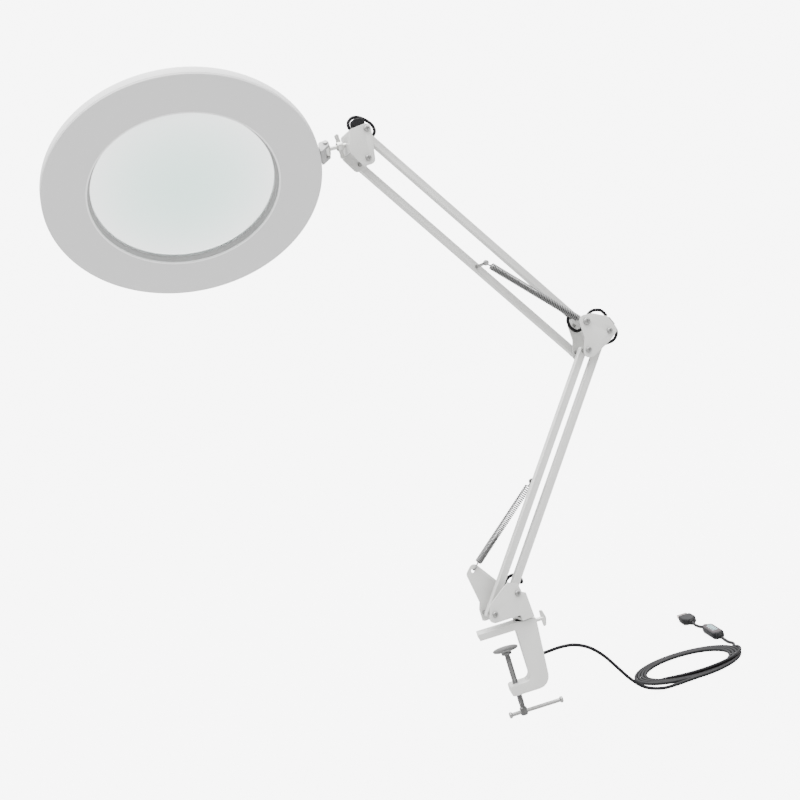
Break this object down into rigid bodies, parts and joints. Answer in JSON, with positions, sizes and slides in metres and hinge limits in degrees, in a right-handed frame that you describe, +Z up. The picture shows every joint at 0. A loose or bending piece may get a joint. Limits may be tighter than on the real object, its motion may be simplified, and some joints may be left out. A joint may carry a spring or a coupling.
{
  "type": "magnifying lamp",
  "caption": "Clamp-on magnifying lamp with a spring-balanced double swing arm, a round lens in a light ring, and a coiled USB lead with an in-line switch.",
  "frame": {"origin": "in the gripping face of the upper clamp jaw, on the axis of the clamp screw", "axes": "+Z up along the clamp screw, +X along the jaw from its tip to the clamp's spine, +Y to the rear; the arms' plane is turned 15 degrees about the post at rest"},
  "size_m": [0.5461, 0.4413, 0.6976],
  "materials": {
    "painted_metal": "satin",
    "steel": "satin",
    "zinc": "satin",
    "dark_metal": "satin",
    "black_rubber": "matte",
    "head_plastic": "satin",
    "cover_plastic": "matte",
    "lens_glass": "gloss",
    "white_board": "matte",
    "switch_plastic": "matte",
    "button_rubber": "matte",
    "plug_plate": "gloss"
  },
  "bodies": {
    "clamp": {"clamp_frame": "painted_metal", "swivel_washer": "black_rubber", "cable_clip": "black_rubber", "clip_screw": "zinc", "swivel_cable_loop": "black_rubber", "cord_lead": "black_rubber", "cord_coil": "black_rubber", "cord_tail": "black_rubber", "switch_body": "switch_plastic", "switch_relief_in": "black_rubber", "switch_relief_out": "black_rubber", "cord_tip": "black_rubber", "plug_grip": "black_rubber", "plug_shell": "plug_plate", "plug_tongue": "white_board"},
    "pad": {"pressure_pad": "painted_metal"},
    "spindle": {"clamp_screw": "steel"},
    "tommy": {"tommy_bar": "steel"},
    "thumb": {"thumb_screw": "zinc"},
    "base": {"base_bracket": "painted_metal", "base_post": "steel", "base_grommet": "black_rubber", "base_bolt_right": "zinc", "base_bolt_left": "zinc", "base_cable_loop": "black_rubber", "lower_spring": "steel"},
    "lower_bar": {"lower_cable_bar": "painted_metal", "lower_bar_cable": "black_rubber"},
    "lower_link": {"lower_link": "painted_metal", "lower_spring_stud": "zinc"},
    "elbow": {"elbow_bracket": "painted_metal", "elbow_bolt_top": "zinc", "elbow_bolt_left": "zinc", "elbow_bolt_right": "zinc", "elbow_cable_block": "black_rubber", "elbow_cable_upper": "black_rubber", "elbow_cable_lower": "black_rubber", "upper_spring": "steel"},
    "upper_bar": {"upper_cable_bar": "painted_metal", "upper_bar_cable": "black_rubber"},
    "upper_link": {"upper_link": "painted_metal", "upper_spring_stud": "zinc"},
    "yoke": {"head_bracket": "painted_metal", "head_bolt_top": "zinc", "head_bolt_low": "zinc", "head_cable_block": "black_rubber", "head_cable_loop": "black_rubber"},
    "stem": {"head_stem": "steel", "stem_nut": "zinc"},
    "head": {"head_housing": "head_plastic", "light_cover": "cover_plastic", "led_board": "white_board", "lens": "lens_glass", "lens_retainer": "head_plastic", "rim_hinge": "dark_metal", "rim_pin": "zinc"},
    "button_1": {"switch_button_1": "button_rubber"},
    "button_2": {"switch_button_2": "button_rubber"},
    "button_3": {"switch_button_3": "button_rubber"},
    "button_4": {"switch_button_4": "button_rubber"}
  },
  "joints": [
    {"name": "base_swivel", "type": "hinge", "parent": "clamp", "child": "base", "pos_m": [0.0252, 0, 0], "axis": [0, 0, 1], "range_deg": [-150, 150], "deforming": ["swivel_cable_loop"]},
    {"name": "lower_arm_pivot", "type": "hinge", "parent": "base", "child": "lower_bar", "pos_m": [0.02182, -0.00091, 0.0346], "axis": [-0.2588, 0.9659, 0], "range_deg": [-60, 10], "deforming": ["base_cable_loop"]},
    {"name": "lower_link_pivot", "type": "hinge", "parent": "base", "child": "lower_link", "pos_m": [-0.00523, -0.00815, 0.0228], "axis": [-0.2588, 0.9659, 0], "range_deg": [-60, 10], "deforming": ["lower_spring"]},
    {"name": "elbow_pivot", "type": "hinge", "parent": "lower_bar", "child": "elbow", "pos_m": [0.18923, 0.04395, 0.2494], "axis": [-0.2588, 0.9659, 0], "range_deg": [-10, 60], "deforming": ["elbow_cable_lower"]},
    {"name": "upper_arm_pivot", "type": "hinge", "parent": "elbow", "child": "upper_bar", "pos_m": [0.16875, 0.03846, 0.2648], "axis": [-0.2588, 0.9659, 0], "range_deg": [-60, 25], "deforming": ["elbow_cable_upper"]},
    {"name": "upper_link_pivot", "type": "hinge", "parent": "elbow", "child": "upper_link", "pos_m": [0.16218, 0.03671, 0.2376], "axis": [-0.2588, 0.9659, 0], "range_deg": [-60, 25], "deforming": ["upper_spring"]},
    {"name": "head_level_pivot", "type": "hinge", "parent": "upper_bar", "child": "yoke", "pos_m": [0.01134, -0.00371, 0.50104], "axis": [-0.2588, 0.9659, 0], "range_deg": [-25, 60], "deforming": ["head_cable_loop"]},
    {"name": "stem_turn", "type": "hinge", "parent": "yoke", "child": "stem", "pos_m": [-0.02696, -0.01398, 0.493], "axis": [0.9659, 0.2588, 0], "range_deg": [-120, 120]},
    {"name": "head_tilt", "type": "hinge", "parent": "stem", "child": "head", "pos_m": [-0.02696, -0.01398, 0.493], "axis": [-0.0745, 0.7565, -0.6497], "range_deg": [-45, 45]},
    {"name": "pad_slide", "type": "slide", "parent": "clamp", "child": "pad", "axis": [0, 0, 1], "range_m": [-0.028, 0.014]},
    {"name": "spindle_turn", "type": "hinge", "parent": "pad", "child": "spindle", "pos_m": [0, 0, -0.05], "axis": [0, 0, 1], "range_deg": [-10082, 5042]},
    {"name": "tommy_slide", "type": "slide", "parent": "spindle", "child": "tommy", "axis": [1, 0, 0], "range_m": [-0.032, 0.0074]},
    {"name": "thumb_turn", "type": "hinge", "parent": "clamp", "child": "thumb", "pos_m": [0.04, 0, 0.0015], "axis": [1, 0, 0], "range_deg": [-180, 180]},
    {"name": "button_press_1", "type": "slide", "parent": "clamp", "child": "button_1", "axis": [0, 0, -1], "range_m": [0, 0.0004], "stiffness_N_per_m": 1500, "springref_m": -0.0002},
    {"name": "button_press_2", "type": "slide", "parent": "clamp", "child": "button_2", "axis": [0, 0, -1], "range_m": [0, 0.0004], "stiffness_N_per_m": 1500, "springref_m": -0.0002},
    {"name": "button_press_3", "type": "slide", "parent": "clamp", "child": "button_3", "axis": [0, 0, -1], "range_m": [0, 0.0004], "stiffness_N_per_m": 1500, "springref_m": -0.0002},
    {"name": "button_press_4", "type": "slide", "parent": "clamp", "child": "button_4", "axis": [0, 0, -1], "range_m": [0, 0.0004], "stiffness_N_per_m": 1500, "springref_m": -0.0002}
  ],
  "couplings": [
    {"joint": "lower_link_pivot", "follows": "lower_arm_pivot", "ratio": 1},
    {"joint": "elbow_pivot", "follows": "lower_arm_pivot", "ratio": -1},
    {"joint": "upper_link_pivot", "follows": "upper_arm_pivot", "ratio": 1},
    {"joint": "head_level_pivot", "follows": "upper_arm_pivot", "ratio": -1},
    {"joint": "spindle_turn", "follows": "pad_slide", "rad_per_m": 6283.2}
  ]
}
